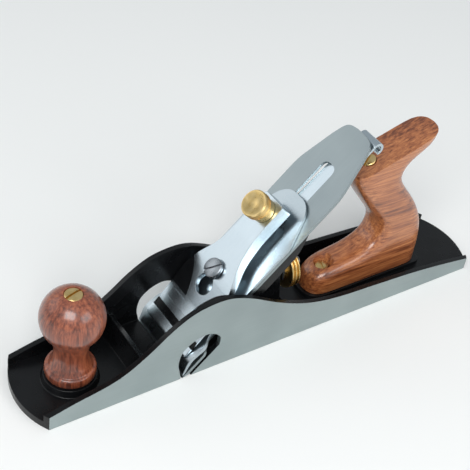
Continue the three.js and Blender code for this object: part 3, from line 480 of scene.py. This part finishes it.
def turned_steel(node, turn):
    # Bright turned steel: a cool sheen broken by fine rings.
    return turned_metal("turned_steel_" + node, node, turn, STEEL, (0.2, 0.34))


def blackened_steel(node, turn):
    # Machined steel with a dark oil finish.
    return turned_metal("oil_dark_steel_" + node, node, turn, DARK_STEEL, (0.3, 0.45))


enamel = stoved_black_enamel()
# Iron off a surface grinder: mid grey, satin, with faint lines along the sole.
ground_iron = ground_metal("surface_ground_iron", ("#98a3a4", "#a9b4b4"), (0.36, 0.44), 0.0, (45, 0.5, 0.5),
                           0.2)
# Tool steel blade, ground lengthwise: even satin grey.
ground_steel = ground_metal("ground_tool_steel", ("#929c9f", "#a4aeb0"), (0.32, 0.38), BED, (30, 0.45, 0.45),
                            0.16)
# Bright nickel over ground iron: pale and faintly blue, even and satin.
nickel = ground_metal("satin_nickel_plate", ("#c0ccd3", "#cdd8de"), (0.24, 0.28), BED, (12, 0.8, 0.8), 0.08)
# Polished and plated steel: brighter than the blade, with a soft haze.
polished = ground_metal("polished_plated_steel", ("#aeb9bf", "#bcc6cb"), (0.26, 0.32), BED, (3, 14, 3), 0.04)
# Machined steel with a dark oil finish on the small parts.
dark_steel = ground_metal("oil_dark_steel", DARK_STEEL, (0.3, 0.45), 0.0, (6, 0.6, 0.6), 0.2)
knob_wood = lacquered_hardwood("lacquered_hardwood_knob", 0.0, ("#4f2416", "#7a3d27", "#914d32", "#a8613f"))
tote_wood = lacquered_hardwood("lacquered_hardwood_tote", ALONG_SOLE,
                               ("#653219", "#95552f", "#ae6b3e", "#c4804e"))


# ---- the iron body ----
sole_low, sole_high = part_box("body_casting")
CHEEK_WALL = 3.5 * MM
cheek_face = sole_high.y
cheek_inside = cheek_face - CHEEK_WALL


def make_body():
    body = refined("body_casting", "ground_body")

    def surface(middle, normal):
        outside = abs(middle.y) > cheek_face - 0.1 * MM and abs(normal.y) > 0.9
        underside = middle.z < 0.1 * MM and normal.z < -0.9
        # the opening's rim is machined through the wall and left bright
        in_opening = -78 * MM < middle.x < -44 * MM and middle.z < 32 * MM
        rim = in_opening and abs(middle.y) > cheek_inside and abs(normal.y) < 0.3 and normal.z < 0.9
        return 1 if outside or underside or rim else 0
    wear(body, [enamel, ground_iron], surface)
    ease_edges(body, 0.35, 2)
    return stands_for(body, "body_casting")


make_body()


# ---- wooden knob and its nut ----
def make_knob():
    low, high = local_box("front_knob", UPRIGHT)
    centre = ((low.x + high.x) / 2, (low.y + high.y) / 2)
    ball = (high.x - low.x) / 2
    foot = low.z
    flat = 6.5 * MM
    ball_height = high.z - math.sqrt(ball ** 2 - flat ** 2)
    waist = 10.2 * MM
    turned_foot = smooth_line([
        (13.2 * MM, foot), (14.6 * MM, foot + 0.5 * MM), (15.1 * MM, foot + 2.2 * MM),
        (15.2 * MM, foot + 4.6 * MM), (14.8 * MM, foot + 6.2 * MM), (13.9 * MM, foot + 6.9 * MM),
        (13.2 * MM, foot + 7.3 * MM), (12.3 * MM, foot + 9.2 * MM), (11.1 * MM, foot + 12 * MM),
        (waist, foot + 17 * MM), (waist + 0.3 * MM, foot + 22 * MM), (waist + 1.6 * MM, foot + 27 * MM)], 4)
    start = math.asin(-12.2 * MM / ball)
    end = math.acos(flat / ball)
    round_top = [(ball * math.cos(start + (end - start) * i / 30),
                  ball_height + ball * math.sin(start + (end - start) * i / 30)) for i in range(31)]
    knob = lathe("turned_knob", turned_foot + round_top, centre, 96)
    nut_low, nut_high = local_box("knob_nut", UPRIGHT)
    seat = (nut_high.x - nut_low.x) / 2 + 0.12 * MM
    bore(knob, centre, seat, nut_low.z - 0.3 * MM, high.z + 2 * MM)
    bolt_low, bolt_high = local_box("knob_bolt", UPRIGHT)
    bore(knob, centre, (bolt_high.x - bolt_low.x) / 2 + 0.3 * MM, foot - MM, high.z + MM, 48)
    smooth(knob, 40)
    wear(knob, [knob_wood])
    return stands_for(knob, "front_knob")


def slotted_head(name, node, turn, steps, slot, finish, sides=64):
    """A screw or nut from [share of its radius, height below the top] steps, with a driver slot."""
    low, high = local_box(node, turn)
    centre = ((low.x + high.x) / 2, (low.y + high.y) / 2)
    radius = (high.x - low.x) / 2
    profile = [(radius * share, high.z - below * MM) for share, below in steps]
    profile = [(profile[0][0], low.z)] + profile
    piece = lathe(name, profile, centre, sides)
    width, depth, angle = slot
    saw_slot(piece, centre, high.z, 3 * radius, width * MM, depth * MM, angle)
    settle(piece, turn)
    ease_edges(piece, 0.12, 2, 40)
    wear(piece, [finish(node, turn)])
    return stands_for(piece, node)


DOMED = [(1, 1.15), (0.97, 0.85), (0.86, 0.5), (0.66, 0.22), (0.4, 0.06), (0.05, 0.0)]
make_knob()
slotted_head("knob_nut_brass", "knob_nut", UPRIGHT, DOMED, (1.3, 1.9, 15), turned_brass)
slotted_head("tote_nut_brass", "tote_nut", TOTE_BOLT, DOMED, (1.3, 1.7, 25), turned_brass)


# ---- wooden tote ----
def soft_corners(corners, steps):
    """A closed outline of [x, z, corner radius] in millimetres, each corner a short curve."""
    outline = []
    for i, (x, z, radius) in enumerate(corners):
        corner = Vector((x, z))
        before = Vector(corners[i - 1][:2])
        after = Vector(corners[(i + 1) % len(corners)][:2])
        reach = min(radius, (corner - before).length / 2, (corner - after).length / 2)
        start = corner.lerp(before, reach / (corner - before).length)
        end = corner.lerp(after, reach / (corner - after).length)
        for step in range(steps + 1):
            t = step / steps
            outline.append(start * (1 - t) ** 2 + corner * 2 * t * (1 - t) + end * t ** 2)
    clean = [outline[0]]
    for point in outline[1:]:
        if (point - clean[-1]).length > 0.15:
            clean.append(point)
    return clean


def board(name, outline, low_y, high_y):
    """A board sawn to an outline of [x, z]: a drawn line, filled and thickened."""
    deselect_all()
    bpy.ops.mesh.primitive_plane_add(size=MM, location=(outline[0].x, low_y, outline[0].y))
    obj = bpy.context.object
    obj.name = obj.data.name = name
    take(obj)
    bpy.ops.object.transform_apply(location=True, rotation=True, scale=True)
    start_editing(obj)
    bpy.ops.mesh.select_all(action="SELECT")
    bpy.ops.mesh.merge(type="CENTER")
    for here, there in zip(outline, outline[1:]):
        bpy.ops.mesh.extrude_region_move(
            TRANSFORM_OT_translate={"value": (there.x - here.x, 0, there.y - here.y)})
    bpy.ops.mesh.select_all(action="SELECT")
    bpy.ops.mesh.edge_face_add()
    bpy.ops.mesh.extrude_region_move(TRANSFORM_OT_translate={"value": (0, high_y - low_y, 0)})
    stop_editing()
    outward_faces(obj)
    return obj


# From the tip of the toe at the base: toe, throat, grip, nut seat, horn, back of the grip and heel.
# The blank is left long below the base and above the flat, which are sawn off once it is rounded.
TOTE_OUTLINE = [
    (-1, -8, 1), (-1.5, 12, 8), (14, 19.2, 14), (33, 20.6, 12), (48, 27.4, 12), (50.6, 40, 18), (29, 68, 14),
    (17, 85.5, 4), (20, 97, 4), (50, 112, 14), (66, 116, 16), (83, 113, 3), (77.4, 99.6, 6),
    (62, 91.4, 14), (53.6, 82, 12), (59.8, 72, 16), (77, 51, 22), (87, 30, 16), (89, -8, 1)]
TOTE_FLAT = ((24.0, 90.6), (76.0, 107.6))      # the flat sawn across the top, front to horn
# Seen from above: the toe and heel are half rounds.
TOTE_PLAN = [(-1.5, -12.4, 12.2), (90, -12.4, 10), (90, 12.4, 10), (-1.5, 12.4, 12.2)]
# What is sawn off either side of the horn's tip, seen from above.
HORN_CORNER = [(82, 0, 0.1), (82, 7.5, 7), (74, 12.3, 8), (56, 12.4, 0.1), (56, 20, 0.1), (90, 20, 0.1),
               (90, 0, 0.1)]
TOTE_NECK = 85                                 # above this the horn's corners are sawn off


def upright_board(name, from_x, plan, low_z, high_z):
    """A board sawn to a plan of [x, y, corner radius] and standing between two heights."""
    outline = [Vector((from_x + p.x * MM, p.y * MM)) for p in soft_corners(plan, 6)]
    obj = board(name, outline, low_z, high_z)
    take(obj)
    obj.rotation_euler = (math.radians(90), 0, 0)
    bpy.ops.object.transform_apply(location=False, rotation=True, scale=False)
    return obj


def make_tote():
    low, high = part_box("tote")
    spare = 0.4                                 # thickness left on each side for rounding, in millimetres
    outline = [Vector((low.x + p.x * MM, low.z + p.y * MM)) for p in soft_corners(TOTE_OUTLINE, 6)]
    tote = board("shaped_tote", outline, low.y - spare * MM, high.y + spare * MM)
    keep_within(tote, upright_board("tote_plan", low.x, TOTE_PLAN, -20 * MM, 150 * MM))
    for hand in (1, -1):
        plan = [(x, hand * y, radius) for x, y, radius in HORN_CORNER]
        cut_away(tote, upright_board("horn_corner", low.x, plan, low.z + TOTE_NECK * MM, 150 * MM))
    apply_modifier(tote, "REMESH", {"mode": "VOXEL", "voxel_size": 1.3 * MM})
    apply_modifier(tote, "SMOOTH", {"factor": 0.5, "iterations": 150})
    start_editing(tote)
    (x0, z0), (x1, z1) = TOTE_FLAT
    up = Vector((z0 - z1, 0, x1 - x0)).normalized()
    bpy.ops.mesh.select_all(action="SELECT")
    bpy.ops.mesh.bisect(plane_co=(low.x + x0 * MM, 0, low.z + z0 * MM), plane_no=up,
                        use_fill=True, clear_outer=True)
    bpy.ops.mesh.select_all(action="SELECT")
    bpy.ops.mesh.bisect(plane_co=(0, 0, low.z + 0.01 * MM), plane_no=(0, 0, -1),
                        use_fill=True, clear_outer=True)
    stop_editing()
    outward_faces(tote)

    nut_low, nut_high = local_box("tote_nut", TOTE_BOLT)
    seat = lathe("drill", [((nut_high.x - nut_low.x) / 2 + 0.3 * MM, nut_low.z - 0.3 * MM),
                           ((nut_high.x - nut_low.x) / 2 + 0.3 * MM, nut_high.z + 12 * MM)],
                 ((nut_low.x + nut_high.x) / 2, 0))
    settle(seat, TOTE_BOLT)
    cut_away(tote, seat)
    bolt_low, bolt_high = local_box("tote_bolt", TOTE_BOLT)
    hole = lathe("drill", [((bolt_high.x - bolt_low.x) / 2 + 0.3 * MM, bolt_low.z),
                           ((bolt_high.x - bolt_low.x) / 2 + 0.3 * MM, nut_low.z + MM)],
                 ((bolt_low.x + bolt_high.x) / 2, 0), 32)
    settle(hole, TOTE_BOLT)
    cut_away(tote, hole)
    toe_low, toe_high = local_box("tote_toe_screw", UPRIGHT)
    toe = ((toe_low.x + toe_high.x) / 2, 0)
    head = (toe_high.x - toe_low.x) / 2
    sink = lathe("drill", [(head + 0.3 * MM, toe_high.z - 3.3 * MM), (head + 0.3 * MM, toe_high.z - 0.6 * MM),
                           (head + 4.5 * MM, toe_high.z + 7 * MM)], toe)
    cut_away(tote, sink)
    bore(tote, toe, 2.5 * MM, low.z - MM, toe_high.z, 32)
    smooth(tote, 38)
    wear(tote, [tote_wood])
    return stands_for(tote, "tote")


make_tote()


def make_toe_screw():
    node = "tote_toe_screw"
    low, high = local_box(node, UPRIGHT)
    centre = ((low.x + high.x) / 2, 0)
    head = (high.x - low.x) / 2
    shank = 2.2 * MM
    profile = [(shank, low.z), (shank, high.z - 3 * MM), (head, high.z - 3 * MM), (head, high.z - 0.8 * MM),
               (head * 0.94, high.z - 0.4 * MM), (head * 0.7, high.z - 0.08 * MM), (head * 0.1, high.z)]
    screw = lathe("toe_screw_brass", profile, centre)
    saw_slot(screw, centre, high.z, 3 * head, 1.2 * MM, 1.1 * MM, 70)
    ease_edges(screw, 0.12, 2, 40)
    wear(screw, [turned_brass(node, UPRIGHT)])
    return stands_for(screw, node)


make_toe_screw()


# ---- frog, its screws and the clip ----
def make_frog():
    frog = refined("frog", "machined_frog")
    off_bed = Vector((math.sin(BED), 0, math.cos(BED)))

    def surface(middle, normal):
        return 1 if normal.dot(off_bed) > 0.95 else 0
    wear(frog, [enamel, ground_steel], surface)
    ease_edges(frog, 0.3, 2)
    return stands_for(frog, "frog")


make_frog()


def headed_screw(name, node, turn, shank, head_depth, slot, finish, threads=0.8):
    """A cheese-head screw: threaded shank up to the head, which has a slot."""
    low, high = local_box(node, turn)
    centre = ((low.x + high.x) / 2, (low.y + high.y) / 2)
    head = (high.y - low.y) / 2
    under = high.z - head_depth * MM
    profile = [(0.7 * shank * MM, low.z)]
    profile += thread(shank * MM, low.z + 0.2 * MM, under - 0.3 * MM, threads * MM, 0.12 * shank * MM)
    profile += [(0.95 * shank * MM, under), (head, under), (head, high.z - 0.5 * MM),
                (head - 0.15 * MM, high.z - 0.2 * MM), (head - 0.5 * MM, high.z)]
    screw = lathe(name, profile, centre, 48)
    width, depth, angle = slot
    saw_slot(screw, centre, high.z, 3 * head, width * MM, depth * MM, angle)
    settle(screw, turn)
    smooth(screw, 35)
    wear(screw, [finish(node, turn)])
    return stands_for(screw, node)


for hand in ("left", "right"):
    headed_screw(f"frog_screw_{hand}_steel", f"frog_screw_{hand}", UPRIGHT, 2.75, 3.2, (1.3, 1.2, 30),
                 blackened_steel, 1.2)
    washer = refined(f"frog_washer_{hand}", f"frog_washer_{hand}_steel")
    wear(washer, [dark_steel])
    ease_edges(washer, 0.15, 2)
    stands_for(washer, f"frog_washer_{hand}")
headed_screw("clip_screw_steel", "frog_clip_screw", ALONG_SOLE, 1.4, 1.8, (0.8, 0.8, 40),
             blackened_steel, 0.7)
headed_screw("lever_cap_screw_steel", "lever_cap_screw", BED, 3.2, 2.4, (1.3, 1.2, -35), turned_steel, 1.1)


def make_adjusting_screw():
    node = "frog_adjusting_screw"
    low, high = local_box(node, ALONG_SOLE)
    centre = ((low.x + high.x) / 2, (low.y + high.y) / 2)
    clip_low, clip_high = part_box("frog_clip")
    shank, neck, collar, head = 2.2 * MM, 1.7 * MM, 3.2 * MM, (high.y - low.y) / 2
    collar_end = clip_low.x - 0.3 * MM
    head_under = clip_high.x + 0.3 * MM
    profile = [(0.8 * shank, low.z)] + thread(shank, low.z, collar_end - 2.4 * MM, 0.9 * MM, 0.2 * MM)
    profile += [(shank, collar_end - 2.2 * MM), (collar, collar_end - 2.2 * MM), (collar, collar_end),
                (neck, collar_end), (neck, head_under), (head, head_under), (head, high.z - 0.6 * MM),
                (head - 0.2 * MM, high.z - 0.25 * MM), (head - 0.7 * MM, high.z)]
    screw = lathe("frog_adjusting_screw_steel", profile, centre, 48)
    saw_slot(screw, centre, high.z, 3 * head, 1.1 * MM, 1.2 * MM, 20)
    settle(screw, ALONG_SOLE)
    smooth(screw, 35)
    wear(screw, [blackened_steel(node, ALONG_SOLE)])
    return stands_for(screw, node)


make_adjusting_screw()


# ---- depth adjuster ----
def make_wheel():
    node = "depth_wheel"
    low, high = local_box(node, ALONG_SOLE)
    centre = ((low.x + high.x) / 2, (low.y + high.y) / 2)
    rim = (high.y - low.y) / 2
    hub, groove = 7.6 * MM, 6.0 * MM
    wheel_front = low.z + 6.4 * MM
    fork_low, fork_high = wheel_front - 5.1 * MM, wheel_front - 2.05 * MM
    ring = (high.z - wheel_front) / 5
    profile = [(hub - 0.4 * MM, low.z), (hub, low.z + 0.3 * MM), (hub, fork_low), (groove, fork_low),
               (groove, fork_high), (hub, fork_high), (hub, wheel_front), (rim - 1.2 * MM, wheel_front)]
    for step in (0, 2, 4):
        at = wheel_front + step * ring
        for drop, rise in ((0.75, 0.06), (0.3, 0.2), (0.06, 0.42), (0.06, 0.58), (0.3, 0.8), (0.75, 0.94)):
            profile.append((rim - drop * 0.55 * MM, at + rise * ring))
        if step < 4:
            profile += [(rim - 1.5 * MM, at + 1.15 * ring), (rim - 1.5 * MM, at + 1.85 * ring)]
    profile += [(rim - 1.4 * MM, high.z), (hub + 1.5 * MM, high.z), (hub + 1.2 * MM, high.z - 0.5 * MM),
                (groove, high.z - 0.5 * MM)]
    wheel = lathe("depth_wheel_brass", profile, centre, 144)
    knurl(wheel, centre, 144, 0.16 * MM, lambda radius, height: radius > rim - 0.32 * MM)
    bore(wheel, centre, 5.3 * MM, low.z - MM, high.z + MM)
    settle(wheel, ALONG_SOLE)
    smooth(wheel, 40)
    wear(wheel, [turned_brass(node, ALONG_SOLE)])
    return stands_for(wheel, node)


def make_bush():
    node = "depth_bush"
    low, high = local_box(node, ALONG_SOLE)
    centre = ((low.x + high.x) / 2, (low.y + high.y) / 2)
    flange = (high.y - low.y) / 2
    barrel = 5.0 * MM
    wheel_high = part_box("depth_wheel")[1].x
    step = wheel_high + 0.3 * MM
    profile = [(barrel - 0.3 * MM, low.z), (barrel, low.z + 0.3 * MM), (barrel, step),
               (flange - 0.2 * MM, step),
               (flange, step + 0.2 * MM), (flange, step + 1.7 * MM), (flange - 0.25 * MM, step + 2.0 * MM),
               (barrel + 0.6 * MM, step + 2.9 * MM), (barrel + 0.3 * MM, high.z - 0.3 * MM),
               (barrel, high.z)]
    bush = lathe("depth_bush_steel", profile, centre, 72)
    bore(bush, centre, 3.3 * MM, low.z - MM, high.z + MM, 48)
    settle(bush, ALONG_SOLE)
    smooth(bush, 35)
    wear(bush, [turned_steel(node, ALONG_SOLE)])
    return stands_for(bush, node)


def make_stud():
    node = "depth_stud"
    low, high = local_box(node, ALONG_SOLE)
    centre = ((low.x + high.x) / 2, (low.y + high.y) / 2)
    radius = (high.y - low.y) / 2
    profile = [(0.8 * radius, low.z)]
    profile += thread(radius, low.z + 0.2 * MM, high.z - 0.6 * MM, 1.06 * MM, 0.3 * MM)
    profile += [(0.85 * radius, high.z - 0.4 * MM), (0.6 * radius, high.z)]
    stud = lathe("depth_stud_steel", profile, centre, 48)
    settle(stud, ALONG_SOLE)
    smooth(stud, 35)
    wear(stud, [turned_steel(node, ALONG_SOLE)])
    return stands_for(stud, node)


make_wheel()
make_bush()
make_stud()


# ---- parts that keep their CAD shape, with eased edges ----
def eased_copy(node, name, finish, width):
    piece = refined(node, name)
    wear(piece, [finish])
    ease_edges(piece, width, 2, 32)
    return stands_for(piece, node)


eased_copy("frog_clip", "frog_clip_steel", dark_steel, 0.2)
eased_copy("y_lever", "y_lever_steel", dark_steel, 0.25)
eased_copy("y_lever_pin", "y_lever_pin_steel", dark_steel, 0.2)
eased_copy("cap_iron_screw", "cap_iron_screw_steel", dark_steel, 0.15)
eased_copy("lateral_disc", "lateral_disc_steel", dark_steel, 0.15)
eased_copy("lateral_rivet", "lateral_rivet_steel", dark_steel, 0.15)
eased_copy("lateral_lever", "lateral_lever_nickel", nickel, 0.2)
eased_copy("cutting_iron", "cutting_iron_ground", ground_steel, 0.16)
eased_copy("cap_iron", "cap_iron_polished", polished, 0.2)
for node in ("knob_bolt", "tote_bolt"):
    bolt = frame["nodes"][node]
    bolt.data.materials.clear()
    bolt.data.materials.append(dark_steel)


# ---- lever cap and thumbscrew ----
LEVER_LIP = 5.5 * MM                          # lip, up the bed from its foot
RECESS_FROM = LEVER_LIP + 7.5 * MM
RECESS_TO = 56 * MM
TONGUE = ((27.5, 4.4), (36, 7.2), (48, 13.8), (56, 23))   # bright tongue: up the bed, half width
NAME_PANEL = (22.7, 29.5, 18.3)               # plain raised panel: from, to, half width


def make_lever_cap():
    cap = refined("lever_cap", "lever_cap_nickel")
    up_bed = Vector((math.cos(BED), 0, -math.sin(BED)))
    off_bed = Vector((math.sin(BED), 0, math.cos(BED)))
    lip = local_box("lever_cap", BED)[0].x

    def surface(middle, normal):
        along = middle.dot(up_bed) - lip + LEVER_LIP
        across = abs(middle.y)
        if normal.dot(off_bed) < 0.8 or not RECESS_FROM < along < RECESS_TO:
            return 0
        if NAME_PANEL[0] * MM < along < NAME_PANEL[1] * MM and across < NAME_PANEL[2] * MM:
            return 0
        for (s0, w0), (s1, w1) in zip(TONGUE, TONGUE[1:]):
            if s0 * MM <= along <= s1 * MM:
                half = w0 + (w1 - w0) * (along / MM - s0) / (s1 - s0)
                return 0 if across < half * MM else 1
        return 1
    wear(cap, [nickel, enamel], surface)
    ease_edges(cap, 0.25, 2, 32)
    return stands_for(cap, "lever_cap")


def make_thumbscrew():
    node = "thumb_knob"
    low, high = local_box(node, BED)
    centre = ((low.x + high.x) / 2, (low.y + high.y) / 2)
    rim = (high.y - low.y) / 2
    neck = rim - 1.0 * MM
    head = high.z - 5.6 * MM
    profile = [(neck - 0.3 * MM, low.z), (neck, low.z + 0.3 * MM), (neck, head), (rim - 0.5 * MM, head),
               (rim, head + 0.5 * MM), (rim, high.z - 0.6 * MM), (rim - 0.6 * MM, high.z),
               (rim - 1.6 * MM, high.z - 0.12 * MM), (rim * 0.5, high.z - 1.2 * MM),
               (0.3 * MM, high.z - 2.2 * MM)]
    knob = lathe("thumb_knob_brass", profile, centre, 120)
    knurl(knob, centre, 120, 0.3 * MM,
          lambda radius, height: radius > rim - 0.3 * MM and head < height < high.z)
    stem_low, stem_high = local_box("thumbscrew_stem", BED)
    bore(knob, centre, 2.9 * MM, low.z - MM, stem_high.z + 0.3 * MM, 48)
    settle(knob, BED)
    smooth(knob, 35)
    wear(knob, [turned_brass(node, BED)])
    stands_for(knob, node)

    stem = "thumbscrew_stem"
    centre = ((stem_low.x + stem_high.x) / 2, (stem_low.y + stem_high.y) / 2)
    foot = (stem_high.y - stem_low.y) / 2
    shank = 2.6 * MM
    profile = [(foot - 0.6 * MM, stem_low.z), (foot, stem_low.z + 0.6 * MM), (foot, stem_low.z + 1.8 * MM),
               (shank, stem_low.z + 2.4 * MM)]
    profile += thread(shank, stem_low.z + 2.8 * MM, stem_high.z, 0.9 * MM, 0.25 * MM)
    rod = lathe("thumbscrew_stem_steel", profile, centre, 48)
    settle(rod, BED)
    smooth(rod, 35)
    wear(rod, [blackened_steel(stem, BED)])
    stands_for(rod, stem)


make_lever_cap()
make_thumbscrew()


# ---- studio ----
CAMERA_TURN = math.radians(-38.836)
CAMERA_RISE = math.radians(40.193)
CAMERA_ROLL = math.radians(9.148)
CAMERA_DISTANCE = 677.355 * MM
CAMERA_TARGET = Vector((-25.739, 0, 75.85)) * MM
LENS = 88.54


def make_camera():
    data = bpy.data.cameras.new("camera")
    data.lens = LENS
    data.sensor_width = 36
    data.clip_start = 0.01
    camera = bpy.data.objects.new("camera", data)
    bpy.context.scene.collection.objects.link(camera)
    back = Vector((math.sin(CAMERA_TURN) * math.cos(CAMERA_RISE),
                   -math.cos(CAMERA_TURN) * math.cos(CAMERA_RISE), math.sin(CAMERA_RISE)))
    right = (-back).cross(Vector((0, 0, 1))).normalized()
    up = right.cross(-back)
    side = right * math.cos(CAMERA_ROLL) + up * math.sin(CAMERA_ROLL)
    top = up * math.cos(CAMERA_ROLL) - right * math.sin(CAMERA_ROLL)
    camera.matrix_world = Matrix.Translation(CAMERA_TARGET + back * CAMERA_DISTANCE) @ Matrix(
        (side, top, back)).transposed().to_4x4()
    bpy.context.scene.camera = camera


def softbox(name, place, size, power):
    data = bpy.data.lights.new(name, "AREA")
    data.shape = "RECTANGLE"
    data.size, data.size_y = size
    data.energy = power
    light = bpy.data.objects.new(name, data)
    bpy.context.scene.collection.objects.link(light)
    light.location = place
    light.rotation_euler = Vector(place).to_track_quat("Z", "Y").to_euler()


def make_studio():
    deselect_all()
    bpy.ops.mesh.primitive_plane_add(size=8, location=(0, 0, cad_box[0][2]))
    floor = bpy.context.object
    floor.name = "studio_floor"
    # Matt white paper sweep.
    paper = new_material("white_paper", {
        "Base Color": colour("#f1f1ef"), "Roughness": 0.9, "Specular IOR Level": 0.1})[0]
    floor.data.materials.append(paper)
    world = bpy.data.worlds.new("studio")
    bpy.context.scene.world = world
    world.use_nodes = True
    sky = world.node_tree.nodes["Background"]
    sky.inputs["Color"].default_value = colour("#e4ebf0")
    sky.inputs["Strength"].default_value = 0.55
    softbox("key", (-0.9, -0.9, 1.4), (1.1, 0.8), 22)
    softbox("fill", (0.6, -1.4, 0.9), (1.1, 0.8), 9)
    softbox("back", (-1.35, 1.25, 1.0), (1.5, 1.2), 5)
    bpy.context.scene.view_settings.view_transform = "Standard"


make_camera()
make_studio()
